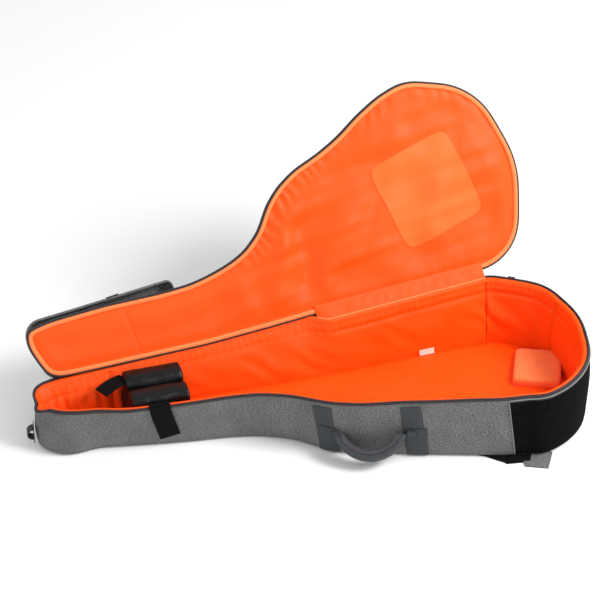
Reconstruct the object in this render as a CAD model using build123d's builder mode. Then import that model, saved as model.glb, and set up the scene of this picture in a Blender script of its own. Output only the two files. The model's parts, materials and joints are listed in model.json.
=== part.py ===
from build123d import *

import os
from math import cos, radians, sin

# Padded gig bag for an acoustic guitar, lying on its back with the lid open.
# +X runs along the bag to the wide (lower bout) end, +Y to the hinge side, +Z up.
# The origin is on the underside, at mid length. All sizes are millimetres.

os.makedirs("parts", exist_ok=True)

# ---------------------------------------------------------------- driving sizes
LENGTH = 1118                # outside length of the body of the bag
HEIGHT_NECK = 86.7           # rim height at the narrow (neck) end
HEIGHT_BOUT = 164.3          # rim height at the wide end
LID_OPEN = 120.7             # degrees from closed at rest

FABRIC = 2.0                 # outer cloth with its backing
FOAM = 10.0                  # closed-cell foam
LINING = 2.0                 # quilted lining cloth
WALL = FABRIC + FOAM + LINING

WALL_TOP = -3.2              # wall edge below the rim plane, under the zip chain
HINGE_START_X = 60           # cloth hinge along the straight far side
HINGE_END_X = 386
HINGE_OUT = 4.5              # the hinge line runs this far outside the wall

LID_GAP = 2.4                # rim plane to the lid's zip tape when closed
LID_INSET = 2.0              # the lid is this much smaller than the rim
LID_FACE = LID_GAP + 1.4     # inner face of the lid above the rim plane
LID_THICK = 14.0

# Outline in plan: a closed polygon whose corners are rounded, each with its own radius.
# The first and last corners lie on the straight far side that carries the hinge.
OUTLINE_CORNERS = [
    (402, 216.1), (510, 158), (558, 38), (545, -173), (371, -209), (198, -162),
    (63, -136), (-88, -38), (-379, -63), (-517, -67), (-588, -3), (-515, 41.4),
]
OUTLINE_RADII = [34, 110, 210, 160, 150, 400, 162, 255, 900, 80, 46, 98]
FAR_SLOPE = (OUTLINE_CORNERS[0][1] - OUTLINE_CORNERS[-1][1]) / (
    OUTLINE_CORNERS[0][0] - OUTLINE_CORNERS[-1][0]
)
FAR_Y0 = OUTLINE_CORNERS[0][1] - FAR_SLOPE * OUTLINE_CORNERS[0][0]

RIM_RISE = (HEIGHT_BOUT - HEIGHT_NECK) / LENGTH
RIM_MID = (HEIGHT_BOUT + HEIGHT_NECK) / 2
RIM = Plane(origin=(0, 0, RIM_MID), x_dir=(1, 0, RIM_RISE), z_dir=(-RIM_RISE, 0, 1))

with BuildLine() as rim_line:
    FilletPolyline(*OUTLINE_CORNERS, radius=OUTLINE_RADII, close=True)
RIM_WIRE = rim_line.wire()


# ---------------------------------------------------------------- shared shapes
def far_side(x):
    """Point of the straight far side at x."""
    return (x, FAR_Y0 + FAR_SLOPE * x)


def inset_polygon(corners, radii, inset):
    """Corners and radii of a rounded outline moved inward. It runs clockwise from above."""
    moved = []
    new_radii = []
    for i, radius in enumerate(radii):
        here = Vector(*corners[i])
        arriving = (here - Vector(*corners[i - 1])).normalized()
        leaving = (Vector(*corners[(i + 1) % len(corners)]) - here).normalized()
        inward = Vector(arriving.Y + leaving.Y, -arriving.X - leaving.X)
        corner = here + inward * (inset / (1 + arriving.dot(leaving)))
        moved.append((corner.X, corner.Y))
        bends_in = arriving.cross(leaving).Z > 0
        new_radii.append(radius + inset if bends_in else radius - inset)
    return moved, new_radii


def outline(inset):
    """The bag's outline, moved inward by inset, as a flat face."""
    corners, radii = inset_polygon(OUTLINE_CORNERS, OUTLINE_RADII, inset)
    with BuildSketch() as face:
        with BuildLine():
            FilletPolyline(*corners, radius=radii, close=True)
        make_face()
    return face.sketch


def plate(inset, low, high, bevel=0.0):
    """Level plate of the bag's outline, its lower edge bevelled."""
    with BuildPart() as slab:
        with BuildSketch(Plane.XY.offset(low)):
            add(outline(inset))
        extrude(amount=high - low)
        if bevel:
            chamfer(slab.faces().sort_by(Axis.Z)[0].edges(), length=bevel)
    return slab.part


def wall(inset_out, inset_in, low, top=WALL_TOP):
    """Upright wall on the outline, from a level floor line to the sloping rim."""
    with BuildPart() as ring:
        with BuildSketch(Plane.XY.offset(low)):
            add(outline(inset_out))
            add(outline(inset_in), mode=Mode.SUBTRACT)
        extrude(amount=HEIGHT_BOUT + 40)
        split(bisect_by=RIM.offset(top), keep=Keep.BOTTOM)
    return ring.part


def open_at_hinge():
    """Cut the stretch beside the hinge out of the strip being sketched."""
    middle = (HINGE_START_X - 25 + HINGE_END_X + 8) / 2
    with Locations((middle, 195)):
        Rectangle(HINGE_END_X - HINGE_START_X + 33, 110, mode=Mode.SUBTRACT)


def tray_strip(inset_out, inset_in, low, high, hinge_gap=True):
    """Upright strip on the outline, between two levels measured from the rim plane."""
    with BuildPart() as strip:
        with BuildSketch():
            add(outline(inset_out))
            add(outline(inset_in), mode=Mode.SUBTRACT)
            if hinge_gap:
                open_at_hinge()
        extrude(amount=HEIGHT_BOUT + 40)
        split(bisect_by=RIM.offset(low), keep=Keep.TOP)
        split(bisect_by=RIM.offset(high), keep=Keep.BOTTOM)
    return strip.part


def lid_strip(inset_out, inset_in, low, high, hinge_gap=True):
    """Strip on the lid's outline, between two levels measured from the rim plane."""
    with BuildPart() as strip:
        with BuildSketch(LID.offset(low)):
            add(outline(inset_out))
            add(outline(inset_in), mode=Mode.SUBTRACT)
            if hinge_gap:
                open_at_hinge()
        extrude(amount=high - low)
    return strip.part


def lid_slab(inset, low, high, edge=0.0):
    """Slab with the lid's outline, its outer edge bevelled."""
    with BuildPart() as slab:
        with BuildSketch(LID.offset(low)):
            add(outline(inset))
        extrude(amount=high - low)
        if edge:
            top_face = slab.faces().sort_by(Axis(LID.origin, LID.z_dir))[-1]
            chamfer(top_face.edges(), length=edge)
    return slab.part


def save(builder, name):
    """Label a finished piece and write it."""
    builder.part.label = name
    export_step(builder.part, f"parts/{name}.step")


def rim_frame(x_wanted, on_far_side):
    """Plane on the rim line at x: x_dir along the rim, y_dir pointing out of the bag."""
    steps = [i / 4000 for i in range(4000)]
    side = [u for u in steps if (RIM_WIRE.position_at(u).Y > 10) == on_far_side]
    place = min(side, key=lambda u: abs(RIM_WIRE.position_at(u).X - x_wanted))
    point = RIM_WIRE.position_at(place)
    along = RIM_WIRE.tangent_at(place)
    origin = RIM.from_local_coords((point.X, point.Y, 0))
    ahead = RIM.from_local_coords((point.X + along.X, point.Y + along.Y, 0))
    return Plane(origin=origin, x_dir=ahead - origin, z_dir=RIM.z_dir)


HINGE_START = RIM.from_local_coords((*far_side(HINGE_START_X), 0))
HINGE_END = RIM.from_local_coords((*far_side(HINGE_END_X), 0))
WALL_EDGE = Plane(origin=HINGE_START, x_dir=HINGE_END - HINGE_START, z_dir=RIM.z_dir)
HINGE = Plane(
    origin=WALL_EDGE.from_local_coords((0, HINGE_OUT, 0)),
    x_dir=WALL_EDGE.x_dir,
    z_dir=RIM.z_dir,
)
LID_TURN = HINGE.location * Location((0, 0, 0), (-LID_OPEN, 0, 0)) * HINGE.location.inverse()
LID = Plane(LID_TURN * RIM.location)

FLOOR_BEVEL = 11.0

# ---------------------------------------------------------------- straps under the bag
STRAP_WIDTH = 56
STRAP_THICK = 5.0
STRAP_LIFT = 0.4
WEB_WIDTH = 25
WEB_THICK = 1.8
STRAP_ROUTES = {
    "near": {
        "pad": [(-118, -8), (0, -62), (170, -92)],
        "web": [(170, -92), (330, -170), (372, -199)],
        "tab": [(392, -178), (446, -168), (458, -188), (440, -234), (396, -222)],
    },
    "far": {
        "pad": [(-118, 62), (40, 90), (180, 100)],
        "web": [(180, 100), (330, 148), (372, 166)],
        "tab": [(392, 152), (440, 140), (462, 165), (444, 205), (398, 196)],
    },
}


def strap_area(side, pad_width, web_width):
    """Plan of one shoulder strap: the padded part and its webbing."""
    route = STRAP_ROUTES[side]
    with BuildSketch() as area:
        with BuildLine():
            ThreePointArc(*route["pad"])
        trace(line_width=pad_width)
        with BuildLine():
            Polyline(*route["web"])
        trace(line_width=web_width)
        with Locations(route["pad"][0], route["pad"][-1]):
            Circle(pad_width / 2)
    return area.sketch


def strap_hollow(margin, depth):
    """Space that both straps press into the soft back."""
    with BuildPart() as hollow:
        with BuildSketch():
            for side in STRAP_ROUTES:
                add(strap_area(side, STRAP_WIDTH + 2 * margin, WEB_WIDTH + 2 * margin))
        extrude(amount=depth)
    return hollow.part


# ---------------------------------------------------------------- tray: cloth, foam, lining
FLOOR_TOP = FABRIC + FOAM
foam_plate = plate(FABRIC, FABRIC, FLOOR_TOP, FLOOR_BEVEL - 2) - strap_hollow(5.6, 8.5)

with BuildPart() as back_panel_shell:
    add(plate(0, 0, FLOOR_TOP, FLOOR_BEVEL))
    add(strap_hollow(3.4, 6.5), mode=Mode.SUBTRACT)
    add(foam_plate, mode=Mode.SUBTRACT)
save(back_panel_shell, "back_panel_shell")

with BuildPart() as back_padding:
    add(foam_plate)
save(back_padding, "back_padding")

with BuildPart() as floor_lining:
    add(plate(FLOOR_TOP, FLOOR_TOP, WALL))
save(floor_lining, "floor_lining")

with BuildPart() as side_wall_shell:
    add(wall(0, FABRIC, FLOOR_TOP))
save(side_wall_shell, "side_wall_shell")

with BuildPart() as side_wall_padding:
    add(wall(FABRIC, FLOOR_TOP, FLOOR_TOP))
save(side_wall_padding, "side_wall_padding")

with BuildPart() as side_wall_lining:
    add(wall(FLOOR_TOP, WALL, WALL))
save(side_wall_lining, "side_wall_lining")

# ---------------------------------------------------------------- tray: zip, hinge, bumper
TAPE_THICK = 1.2
TAPE_DEPTH = 14.0
CHAIN_WIDTH = 4.5

with BuildPart() as tray_zip_tape:
    add(tray_strip(-TAPE_THICK, 0, -TAPE_DEPTH, 0))
save(tray_zip_tape, "tray_zip_tape")

with BuildPart() as tray_zip_chain:
    add(tray_strip(0, CHAIN_WIDTH, WALL_TOP, 0))
save(tray_zip_chain, "tray_zip_chain")

with BuildPart() as hinge_tape:
    add(tray_strip(-TAPE_THICK, 0, -TAPE_DEPTH, WALL_TOP, hinge_gap=False))
    with BuildSketch():
        with Locations(((HINGE_START_X + HINGE_END_X) / 2, 195)):
            Rectangle(HINGE_END_X - HINGE_START_X, 110)
    extrude(amount=HEIGHT_BOUT + 40, mode=Mode.INTERSECT)
save(hinge_tape, "hinge_tape")

# Everything sewn flat to the outside of the wall is cut from this one thin skin.
SEWN_THICK = 1.5
with BuildPart() as sewn_skin:
    add(wall(-SEWN_THICK, 0, FLOOR_TOP, top=-TAPE_DEPTH - 0.4))

BUMPER_X = 372               # where the black end panel starts
with BuildPart() as end_bumper:
    add(sewn_skin.part)
    split(bisect_by=Plane.YZ.offset(BUMPER_X), keep=Keep.TOP)
save(end_bumper, "end_bumper")

# ---------------------------------------------------------------- tray: pad at the wide end
PAD_CENTRE = (472, 50)
PAD_TURN = -15
PAD_TOP = 36
with BuildPart() as end_pad:
    with BuildSketch(Plane.XY.offset(WALL + 0.2)):
        with Locations(Location(PAD_CENTRE, PAD_TURN)):
            RectangleRounded(84, 106, 8)
    extrude(amount=PAD_TOP - WALL - 0.2)
    chamfer(end_pad.faces().sort_by(Axis.Z)[-1].edges(), length=3)
    with BuildSketch(Plane.XY.offset(WALL + 0.2)):
        add(outline(WALL + 1))
    extrude(amount=PAD_TOP, mode=Mode.INTERSECT)
save(end_pad, "end_pad")

# ---------------------------------------------------------------- tray: neck cradle
CRADLE_CENTRE = (-312, 16)
CRADLE_TURN = 9
CRADLE_LENGTH = 122
CRADLE_WIDTH = 84
CRADLE_BASE_TOP = 66
CRADLE = Plane(
    origin=(*CRADLE_CENTRE, WALL + 0.2),
    x_dir=(cos(radians(CRADLE_TURN)), sin(radians(CRADLE_TURN)), 0),
)
ROLL_RADIUS = 19
ROLL_OFFSET = 22
ROLL_HEIGHT = 84             # centre of each roll above the floor

with BuildPart() as neck_cradle_base:
    with BuildSketch(CRADLE):
        RectangleRounded(CRADLE_LENGTH, CRADLE_WIDTH, 8)
    extrude(amount=CRADLE_BASE_TOP - WALL)
save(neck_cradle_base, "neck_cradle_base")

ROLL_PLANE = Plane(
    origin=CRADLE.from_local_coords((-CRADLE_LENGTH / 2 + 4, 0, 0)),
    x_dir=CRADLE.y_dir,
    z_dir=CRADLE.x_dir,
)
ROLL_BOTTOM = CRADLE_BASE_TOP - WALL + 0.2
for roll_name, across in (("cradle_roll_near", -ROLL_OFFSET), ("cradle_roll_far", ROLL_OFFSET)):
    with BuildPart() as cradle_roll:
        with BuildSketch(ROLL_PLANE):
            with Locations((across, ROLL_HEIGHT - WALL)):
                Ellipse(21, ROLL_RADIUS)
            with Locations((across, ROLL_BOTTOM - 25)):
                Rectangle(60, 50, mode=Mode.SUBTRACT)
        extrude(amount=CRADLE_LENGTH - 8)
    save(cradle_roll, roll_name)

# Far strap of the cradle: a tongue that leaves the cradle's left end.
TONGUE_HINGE = CRADLE.from_local_coords((-CRADLE_LENGTH / 2 - 1.0, 22, 84 - WALL))
TONGUE = Plane(origin=TONGUE_HINGE, x_dir=(-cos(radians(38)), -sin(radians(38)), 0))
with BuildPart() as cradle_strap_far:
    with BuildSketch(TONGUE):
        with Locations((36, 0)):
            RectangleRounded(50, 34, 3)
    extrude(amount=1.6)
save(cradle_strap_far, "cradle_strap_far")

# Near strap: over the rim and down the outside of the wall.
OVER_X = -310
OVER_WIDTH = 42
OVER = rim_frame(OVER_X, on_far_side=False)
STRAP_SHEET = 1.5
with BuildPart() as cradle_strap_root:
    with BuildSketch(OVER.offset(0.4)):
        with Locations((0, -8.5)):
            Rectangle(OVER_WIDTH, 26)
    extrude(amount=STRAP_SHEET)
save(cradle_strap_root, "cradle_strap_root")

TAIL_LENGTH = 82
TAIL_HINGE = OVER.from_local_coords((0, 6.2, 1.2))
TAIL = Plane(origin=TAIL_HINGE, x_dir=OVER.x_dir, z_dir=OVER.y_dir)
with BuildPart() as cradle_strap_near:
    with BuildSketch(TAIL.offset(-0.8)):
        with BuildLine():
            Polyline((-20, 1.5), (20, 1.5), (-3, TAIL_LENGTH), (-41, TAIL_LENGTH - 8), close=True)
        make_face()
    extrude(amount=STRAP_SHEET)
save(cradle_strap_near, "cradle_strap_near")

# ---------------------------------------------------------------- tray: carry handle
BAND_WIDTH = 38
for band_name, band_x in (("handle_band_neck", 12), ("handle_band_bout", 184)):
    band_frame = rim_frame(band_x, on_far_side=False)
    slab_plane = Plane(
        origin=(band_frame.origin.X, band_frame.origin.Y, 0),
        x_dir=(band_frame.x_dir.X, band_frame.x_dir.Y, 0),
    )
    with BuildPart() as handle_band:
        add(sewn_skin.part)
        with BuildSketch(slab_plane):
            Rectangle(BAND_WIDTH, 60)
        extrude(amount=200, mode=Mode.INTERSECT)
    save(handle_band, band_name)

GRIP_WIDTH = 32
GRIP_THICK = 7
GRIP_DROOP = 42              # degrees below level at rest
GRIP_STANDOFF = 12
GRIP_SAG = 58
grip_left = Vector(33, -119 - GRIP_STANDOFF, 52)
grip_right = Vector(165, -156 - GRIP_STANDOFF, 60)
grip_axis = (grip_right - grip_left).normalized()
grip_span = (grip_right - grip_left).length
grip_out = Vector(grip_axis.Y, -grip_axis.X, 0).normalized()
grip_up = grip_axis.cross(-grip_out)
GRIP = Plane(
    origin=(grip_left + grip_right) * 0.5,
    x_dir=grip_axis,
    z_dir=grip_up * cos(radians(GRIP_DROOP)) + grip_out * sin(radians(GRIP_DROOP)),
)


def grip_shape(depth_in, depth_out, half_width):
    """Slice of the drooping handle between two depths of its thickness."""
    half = grip_span / 2
    with BuildPart() as grip:
        with BuildSketch(GRIP.offset(-half_width)):
            with BuildLine():
                inner = ThreePointArc(
                    (-half + depth_in, 0), (0, -GRIP_SAG + depth_in), (half - depth_in, 0)
                )
                outer = ThreePointArc(
                    (-half + depth_out, 0), (0, -GRIP_SAG + depth_out), (half - depth_out, 0)
                )
                Line(inner @ 0, outer @ 0)
                Line(inner @ 1, outer @ 1)
            make_face()
        extrude(amount=2 * half_width)
        side_view = Plane(origin=GRIP.origin, x_dir=GRIP.x_dir, z_dir=-GRIP.y_dir)
        with BuildSketch(side_view.offset(-5)):
            with BuildLine():
                Polyline(
                    (-half - 2, -8), (-half + 16, -half_width), (half - 16, -half_width),
                    (half + 2, -8), (half + 2, 8), (half - 16, half_width),
                    (-half + 16, half_width), (-half - 2, 8), close=True,
                )
            make_face()
        extrude(amount=90, mode=Mode.INTERSECT)
    return grip.part


with BuildPart() as handle_grip:
    add(grip_shape(4.0, 0.0, GRIP_WIDTH / 2))
save(handle_grip, "handle_grip")

with BuildPart() as handle_grip_mesh:
    add(grip_shape(GRIP_THICK, 4.0, GRIP_WIDTH / 2))
save(handle_grip_mesh, "handle_grip_mesh")

# Sewn ends of the handle, standing off each band beside the grip.
for end_name, end_point, away in (
    ("handle_end_neck", grip_left, -1), ("handle_end_bout", grip_right, 1),
):
    end_plane = Plane(origin=end_point + grip_axis * (away * 9), x_dir=grip_axis, z_dir=grip_out)
    with BuildPart() as handle_end:
        with BuildSketch(end_plane.offset(-7.5)):
            RectangleRounded(17, 15, 3)
        extrude(amount=11)
    save(handle_end, end_name)

# ---------------------------------------------------------------- tray: label, hang loop
LABEL_X = 256
LABEL = Plane(
    origin=(LABEL_X, far_side(LABEL_X)[1] - 14.8, 22),
    x_dir=(1, FAR_SLOPE, 0),
    z_dir=(FAR_SLOPE, -1, 0),
)
with BuildPart() as care_label:
    with BuildSketch(LABEL):
        Rectangle(29, 13)
    extrude(amount=0.5)
save(care_label, "care_label")

LOOP_PLANE = Plane(origin=(-562.2, -20, 34), x_dir=(-1, 0, 0), z_dir=(0, 1, 0))
LOOP_RADIUS = 13
LOOP_WEB = 2.2
LOOP_WIDTH = 18
with BuildPart() as hang_loop:
    with BuildSketch(LOOP_PLANE):
        with Locations((0, 0)):
            Circle(LOOP_RADIUS)
            Circle(LOOP_RADIUS - LOOP_WEB, mode=Mode.SUBTRACT)
            with Locations((-LOOP_RADIUS, 0)):
                Rectangle(2 * LOOP_RADIUS, 3 * LOOP_RADIUS, mode=Mode.SUBTRACT)
    extrude(amount=LOOP_WIDTH / 2, both=True)
save(hang_loop, "hang_loop")

with BuildPart() as hang_loop_patch:
    with BuildSketch(Plane(origin=(-562.0, -20, 34), x_dir=(0, -1, 0), z_dir=(-1, 0, 0))):
        Rectangle(24, 38)
    extrude(amount=-1.6)
save(hang_loop_patch, "hang_loop_patch")

# ---------------------------------------------------------------- shoulder straps
for side, route in STRAP_ROUTES.items():
    root = route["pad"][0]
    with BuildPart() as strap_pad:
        with BuildSketch(Plane.XY.offset(STRAP_LIFT)):
            with BuildLine():
                ThreePointArc(*route["pad"])
            trace(line_width=STRAP_WIDTH)
            with Locations(root, route["pad"][-1]):
                Circle(STRAP_WIDTH / 2)
        extrude(amount=STRAP_THICK)
    save(strap_pad, f"shoulder_strap_{side}")

    with BuildPart() as strap_web:
        with BuildSketch(Plane.XY.offset(STRAP_LIFT)):
            with BuildLine():
                Polyline(*route["web"])
            trace(line_width=WEB_WIDTH)
            with BuildLine():
                ThreePointArc(*route["pad"])
            trace(line_width=STRAP_WIDTH, mode=Mode.SUBTRACT)
            with Locations(route["pad"][-1]):
                Circle(STRAP_WIDTH / 2, mode=Mode.SUBTRACT)
        extrude(amount=WEB_THICK)
    save(strap_web, f"strap_webbing_{side}")

    with BuildPart() as strap_tab:
        with BuildSketch(Plane.XY.offset(0.2)):
            with BuildLine():
                Polyline(*route["tab"], close=True)
            make_face()
            add(outline(8.2), mode=Mode.SUBTRACT)
        extrude(amount=2.2)
    save(strap_tab, f"strap_tab_{side}")

# ---------------------------------------------------------------- zip sliders and pulls
PULL_LENGTH = 30


def slider_body(frame):
    """Zip slider: a plate over the chain and a leg down the outside of the tape."""
    with BuildPart() as body:
        with BuildSketch(frame.offset(0.4)):
            with Locations((0, -0.9)):
                RectangleRounded(15, 7.8, 2)
        extrude(amount=1.5)
        with BuildSketch(frame.offset(-7)):
            with Locations((0, 2.4)):
                Rectangle(13, 1.2)
        extrude(amount=8.5)
    return body.part


def slider_pull(frame):
    """Flat pull that hangs from the slider's leg on its own pin line."""
    hang = Plane(origin=frame.from_local_coords((0, 3.4, -3)), x_dir=frame.x_dir, z_dir=frame.y_dir)
    with BuildPart() as pull:
        with BuildSketch(hang):
            with Locations((0, PULL_LENGTH / 2)):
                RectangleRounded(8, PULL_LENGTH, 3)
            with Locations((0, PULL_LENGTH - 6)):
                Circle(2, mode=Mode.SUBTRACT)
        extrude(amount=1.8)
    return pull.part


SLIDER_PLACES = {"neck": -30, "bout": 446}
for spot, spot_x in SLIDER_PLACES.items():
    spot_frame = rim_frame(spot_x, on_far_side=True)
    with BuildPart() as zip_slider:
        add(slider_body(spot_frame))
    save(zip_slider, f"zip_slider_{spot}")
    with BuildPart() as zip_pull:
        add(slider_pull(spot_frame))
    save(zip_pull, f"zip_pull_{spot}")

# ---------------------------------------------------------------- lid
lid_outer_block = lid_slab(LID_INSET, LID_FACE, LID_FACE + LID_THICK, edge=4)
lid_inner_block = lid_slab(LID_INSET + FABRIC, LID_FACE, LID_FACE + LID_THICK - FABRIC, edge=3)

with BuildPart() as lid_shell:
    add(lid_outer_block)
    add(lid_inner_block, mode=Mode.SUBTRACT)
save(lid_shell, "lid_shell")

with BuildPart() as lid_padding:
    add(lid_inner_block)
    split(bisect_by=LID.offset(LID_FACE + LINING), keep=Keep.TOP)
save(lid_padding, "lid_padding")

with BuildPart() as lid_lining:
    add(lid_inner_block)
    split(bisect_by=LID.offset(LID_FACE + LINING), keep=Keep.BOTTOM)
save(lid_lining, "lid_lining")

with BuildPart() as lid_binding:
    add(lid_strip(6.8, 13, LID_FACE - 1.4, LID_FACE, hinge_gap=False))
save(lid_binding, "lid_binding")

with BuildPart() as lid_zip_tape:
    add(lid_strip(LID_INSET - TAPE_THICK, LID_INSET, LID_GAP, LID_GAP + TAPE_DEPTH - 2))
save(lid_zip_tape, "lid_zip_tape")

with BuildPart() as lid_zip_chain:
    add(lid_strip(LID_INSET, LID_INSET + CHAIN_WIDTH, LID_GAP, LID_FACE))
save(lid_zip_chain, "lid_zip_chain")

PATCH_CENTRE = (360, 12)
PATCH_SIZE = 184
with BuildPart() as bridge_patch:
    with BuildSketch(LID.offset(LID_FACE - 1.0)):
        with Locations(Location(PATCH_CENTRE, -4)):
            RectangleRounded(PATCH_SIZE, PATCH_SIZE + 8, 22)
    extrude(amount=1.0)
save(bridge_patch, "bridge_patch")

# Headstock pocket: a puffed pouch on the outside of the lid's narrow end. Its near side
# stands a little proud of the lid's edge and carries the pocket's own zip.
POCKET_CORNERS = [(-208, 84), (-208, -46), (-400, -66), (-528, -76), (-573, -5), (-517, 30)]
POCKET_RADII = [12, 12, 500, 55, 40, 60]
POCKET_LOW = LID_FACE + LID_THICK + 0.2
POCKET_THICK = 26
POCKET_BEVEL = 9
with BuildPart() as headstock_pocket:
    with BuildSketch(LID.offset(POCKET_LOW)):
        with BuildLine():
            FilletPolyline(*POCKET_CORNERS, radius=POCKET_RADII, close=True)
        make_face()
    extrude(amount=POCKET_THICK)
    pocket_back = headstock_pocket.faces().sort_by(Axis(LID.origin, LID.z_dir))[-1]
    chamfer(pocket_back.edges(), length=POCKET_BEVEL)
save(headstock_pocket, "headstock_pocket")

POCKET_ZIP_X = -307
POCKET_ZIP_LENGTH = 160
POCKET_ZIP_WIDTH = 12
POCKET_SLOPE = 20 / 192
SLIDER_SHIFT = -36
zip_y = -46 + POCKET_SLOPE * (POCKET_ZIP_X + 208)
zip_centre = (POCKET_ZIP_X, zip_y - 0.2, POCKET_LOW + 8.5)
POCKET_ZIP = Plane(
    origin=LID.from_local_coords(zip_centre),
    x_dir=LID.from_local_coords((1, POCKET_SLOPE, 0)) - LID.origin,
    z_dir=LID.from_local_coords((POCKET_SLOPE, -1, 0)) - LID.origin,
)
with BuildPart() as pocket_zip:
    with BuildSketch(POCKET_ZIP):
        RectangleRounded(POCKET_ZIP_LENGTH, POCKET_ZIP_WIDTH, 2)
    extrude(amount=1.0)
    with BuildSketch(POCKET_ZIP.offset(1.0)):
        Rectangle(POCKET_ZIP_LENGTH - 4, 4)
    extrude(amount=1.4)
save(pocket_zip, "pocket_zip")

with BuildPart() as pocket_slider:
    with BuildSketch(POCKET_ZIP.offset(2.8)):
        with Locations((SLIDER_SHIFT, 0)):
            RectangleRounded(13, 8, 2)
    extrude(amount=1.6)
    with BuildSketch(POCKET_ZIP.offset(4.4)):
        with Locations((SLIDER_SHIFT, 0)):
            Rectangle(7, 2.4)
    extrude(amount=2.6)
save(pocket_slider, "pocket_slider")

POCKET_PULL_LENGTH = 26
with BuildPart() as pocket_pull:
    with BuildSketch(POCKET_ZIP.offset(7.4)):
        with Locations((SLIDER_SHIFT + POCKET_PULL_LENGTH / 2, 0)):
            RectangleRounded(POCKET_PULL_LENGTH, 7, 3)
    extrude(amount=2.0)
save(pocket_pull, "pocket_pull")
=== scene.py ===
import json
import math
import bpy
import numpy as np
from mathutils import Matrix, Vector


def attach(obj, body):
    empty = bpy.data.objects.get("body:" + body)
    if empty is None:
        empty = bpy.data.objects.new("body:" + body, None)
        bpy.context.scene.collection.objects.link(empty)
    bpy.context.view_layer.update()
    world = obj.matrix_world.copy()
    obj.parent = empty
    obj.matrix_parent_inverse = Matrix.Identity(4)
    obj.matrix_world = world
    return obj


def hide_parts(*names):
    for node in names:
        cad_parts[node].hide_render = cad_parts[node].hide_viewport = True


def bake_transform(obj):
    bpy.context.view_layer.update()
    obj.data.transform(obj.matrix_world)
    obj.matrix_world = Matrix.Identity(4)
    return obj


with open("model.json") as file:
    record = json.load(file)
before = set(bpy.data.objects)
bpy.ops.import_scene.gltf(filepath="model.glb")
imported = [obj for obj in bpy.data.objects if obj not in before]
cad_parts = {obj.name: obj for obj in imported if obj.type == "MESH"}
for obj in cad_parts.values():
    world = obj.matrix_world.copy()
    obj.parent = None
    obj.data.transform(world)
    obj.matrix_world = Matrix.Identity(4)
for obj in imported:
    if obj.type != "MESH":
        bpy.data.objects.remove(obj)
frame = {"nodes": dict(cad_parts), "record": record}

# Padded guitar gig bag lying open. Lengths in this file are millimetres until a mesh is made.
MM = 0.001
UP = np.array([0, 0, 1.0])
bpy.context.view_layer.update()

# ------------------------------------------------------------------ sizes shared with the model
RIM_MID = 125.5
RIM_RISE = 77.6 / 1118
LID_OPEN = 120.7
TRAY_CORNERS = [
    (402, 216.1), (510, 158), (558, 38), (545, -173), (371, -209), (198, -162), (63, -136),
    (-88, -38), (-379, -63), (-517, -67), (-588, -3), (-515, 41.4),
]
TRAY_RADII = [34, 110, 210, 160, 150, 400, 162, 255, 900, 80, 46, 98]
LID_CORNERS = [
    (478, 229), (560, 38), (532, -176), (371, -209), (198, -162), (63, -136),
    (-88, -38), (-379, -68), (-541, -99), (-516, 41.2),
]
LID_RADII = [112, 200, 150, 150, 400, 162, 255, 900, 40, 34]
HINGE_SPAN = (60, 386)       # the cloth hinge, along x
FLOP_OUT = 27.0              # the far wall falls outward beside the neck
FLOP_UP = 6.0
NIP_IN = 20.0                # the near wall is drawn inward at the narrow tip
NIP_UP = 7.0
FAR_SLOPE = 174.7 / 917
FAR_Y0 = 216.1 - FAR_SLOPE * 402
COLUMNS = 720

# The soft near edges sag and stand out from the plain outline: (x, y) of tray rim and lid edge.
TRAY_NEAR = [
    (-470, -55), (-456, -56), (-400, -60), (-325, -63), (-249, -64), (-173, -62), (-116, -66),
    (-84, -75), (-48, -88), (-13, -108), (22, -126), (58, -137), (89, -145), (158, -153),
    (218, -165), (293, -177), (356, -189), (402, -190), (436, -182),
]
LID_NEAR = [
    (-530, -76), (-512, -80), (-468, -79), (-410, -70), (-351, -60), (-293, -47), (-235, -34),
    (-176, -25), (-133, -25), (-88, -29), (-50, -38), (-8, -62), (30, -104), (67, -129),
    (111, -146), (171, -156), (222, -170), (279, -194), (332, -210), (382, -216), (425, -208),
    (463, -187),
]
# How far the far lining leans in at the floor: (x, inset).
FAR_LEAN = [(-400, 4), (-234, 8), (-80, 20), (61, 25), (252, 25), (331, 28), (390, 33), (450, 14)]


# ------------------------------------------------------------------ small maths
def smooth(a, b, x):
    """0 below a, 1 above b, eased between."""
    t = np.clip((np.asarray(x, float) - a) / (b - a), 0, 1)
    return t * t * (3 - 2 * t)


def unit(v):
    """Vectors scaled to length one."""
    return v / np.maximum(np.linalg.norm(v, axis=-1, keepdims=True), 1e-9)


def bump_at(x, centre, width):
    """Soft bump of height 1 at centre."""
    return np.exp(-(((np.asarray(x, float) - centre) / width) ** 2))


def ripple(points, size, seed, stretch=(1, 1, 1)):
    """Smooth cloth-like unevenness about -1 to 1 with features of the given size."""
    rng = np.random.RandomState(seed)
    p = np.asarray(points, float) * np.asarray(stretch)
    total = np.zeros(p.shape[:-1])
    for _ in range(7):
        ahead, aside = unit(rng.normal(size=(2, 3)))
        pace = 2 * math.pi / (size * rng.uniform(0.7, 1.7))
        warp = 0.9 * np.sin(p @ aside * pace * 0.7 + rng.uniform(0, 6.3))
        total += np.sin(p @ ahead * pace + rng.uniform(0, 6.3) + warp)
    return total / 3.2


def lifted(plan, height=0.0):
    """Plan points given a height."""
    plan = np.asarray(plan, float)
    height = np.broadcast_to(height, plan.shape[:-1])
    return np.concatenate([plan, height[..., None]], -1)


def far_line(x):
    """y of the straight far side at x."""
    return FAR_Y0 + FAR_SLOPE * np.asarray(x, float)


def rim_height(x):
    """Height of the tray's rim above the floor at x."""
    return RIM_MID + RIM_RISE * np.asarray(x, float)


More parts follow.
